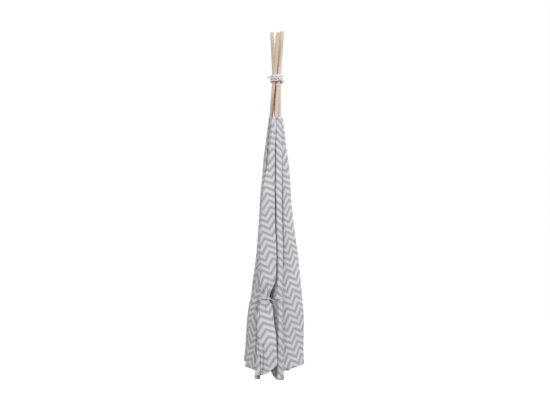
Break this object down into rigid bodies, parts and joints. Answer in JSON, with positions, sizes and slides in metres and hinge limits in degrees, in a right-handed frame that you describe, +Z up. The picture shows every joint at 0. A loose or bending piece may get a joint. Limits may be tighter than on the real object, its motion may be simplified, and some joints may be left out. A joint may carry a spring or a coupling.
{
  "type": "kids teepee",
  "caption": "Folded play teepee standing upright: bare crossed wooden poles in a cloth lashing, pleated chevron cotton cover with pole sleeves and tied-back door flaps.",
  "frame": {"origin": "centre of the folded teepee's footprint box, on the floor that the pole pockets stand on", "axes": "+Z up along the poles; the door faces -Y; +X is to the right of the door"},
  "size_m": [0.3187, 0.4672, 1.7989],
  "materials": {
    "pine": "satin",
    "chevron_cotton": "matte",
    "lash_cotton": "matte",
    "tie_ribbon": "satin"
  },
  "bodies": {
    "lashing": {"lash_wrap": "lash_cotton", "lash_knot": "lash_cotton", "lash_end_left": "lash_cotton", "lash_end_right": "lash_cotton"},
    "back_left_leg": {"pole_back_left": "pine", "sleeve_back_left": "chevron_cotton", "wall_left": "chevron_cotton", "wall_back": "chevron_cotton"},
    "front_left_leg": {"pole_front_left": "pine", "sleeve_front_left": "chevron_cotton", "door_flap_left": "chevron_cotton", "tie_ribbon_left": "tie_ribbon", "tie_knot_left": "tie_ribbon", "tie_tail_left_upper": "tie_ribbon", "tie_tail_left_lower": "tie_ribbon"},
    "back_right_leg": {"pole_back_right": "pine", "sleeve_back_right": "chevron_cotton", "wall_right": "chevron_cotton"},
    "front_right_leg": {"pole_front_right": "pine", "sleeve_front_right": "chevron_cotton", "door_flap_right": "chevron_cotton", "tie_ribbon_right": "tie_ribbon", "tie_knot_right": "tie_ribbon", "tie_tail_right_upper": "tie_ribbon", "tie_tail_right_lower": "tie_ribbon"}
  },
  "joints": [
    {"name": "open_frame", "type": "hinge", "parent": "lashing", "child": "back_left_leg", "pos_m": [0.00127, -0.08079, 1.5353], "axis": [0.5378, 0.8409, -0.0602], "range_deg": [0, 23.33], "deforming": ["lash_wrap", "lash_knot", "lash_end_left", "lash_end_right"]},
    {"name": "spread_front_left", "type": "hinge", "parent": "back_left_leg", "child": "front_left_leg", "pos_m": [0.02257, -0.09949, 1.54113], "axis": [-0.9957, 0.0592, 0.0716], "range_deg": [0, 32.94], "deforming": ["wall_left"]},
    {"name": "spread_back_right", "type": "hinge", "parent": "back_left_leg", "child": "back_right_leg", "pos_m": [0.03, -0.04703, 1.53704], "axis": [0.2386, -0.9643, -0.1145], "range_deg": [0, 39.4], "deforming": ["wall_back"]},
    {"name": "spread_front_right", "type": "hinge", "parent": "back_right_leg", "child": "front_right_leg", "pos_m": [0.03144, -0.07393, 1.54402], "axis": [-0.9272, -0.3723, 0.0419], "range_deg": [0, 36.54], "deforming": ["wall_right"]}
  ],
  "couplings": [
    {"joint": "spread_front_left", "follows": "open_frame", "ratio": 1.4121},
    {"joint": "spread_back_right", "follows": "open_frame", "ratio": 1.6889},
    {"joint": "spread_front_right", "follows": "open_frame", "ratio": 1.5664}
  ]
}
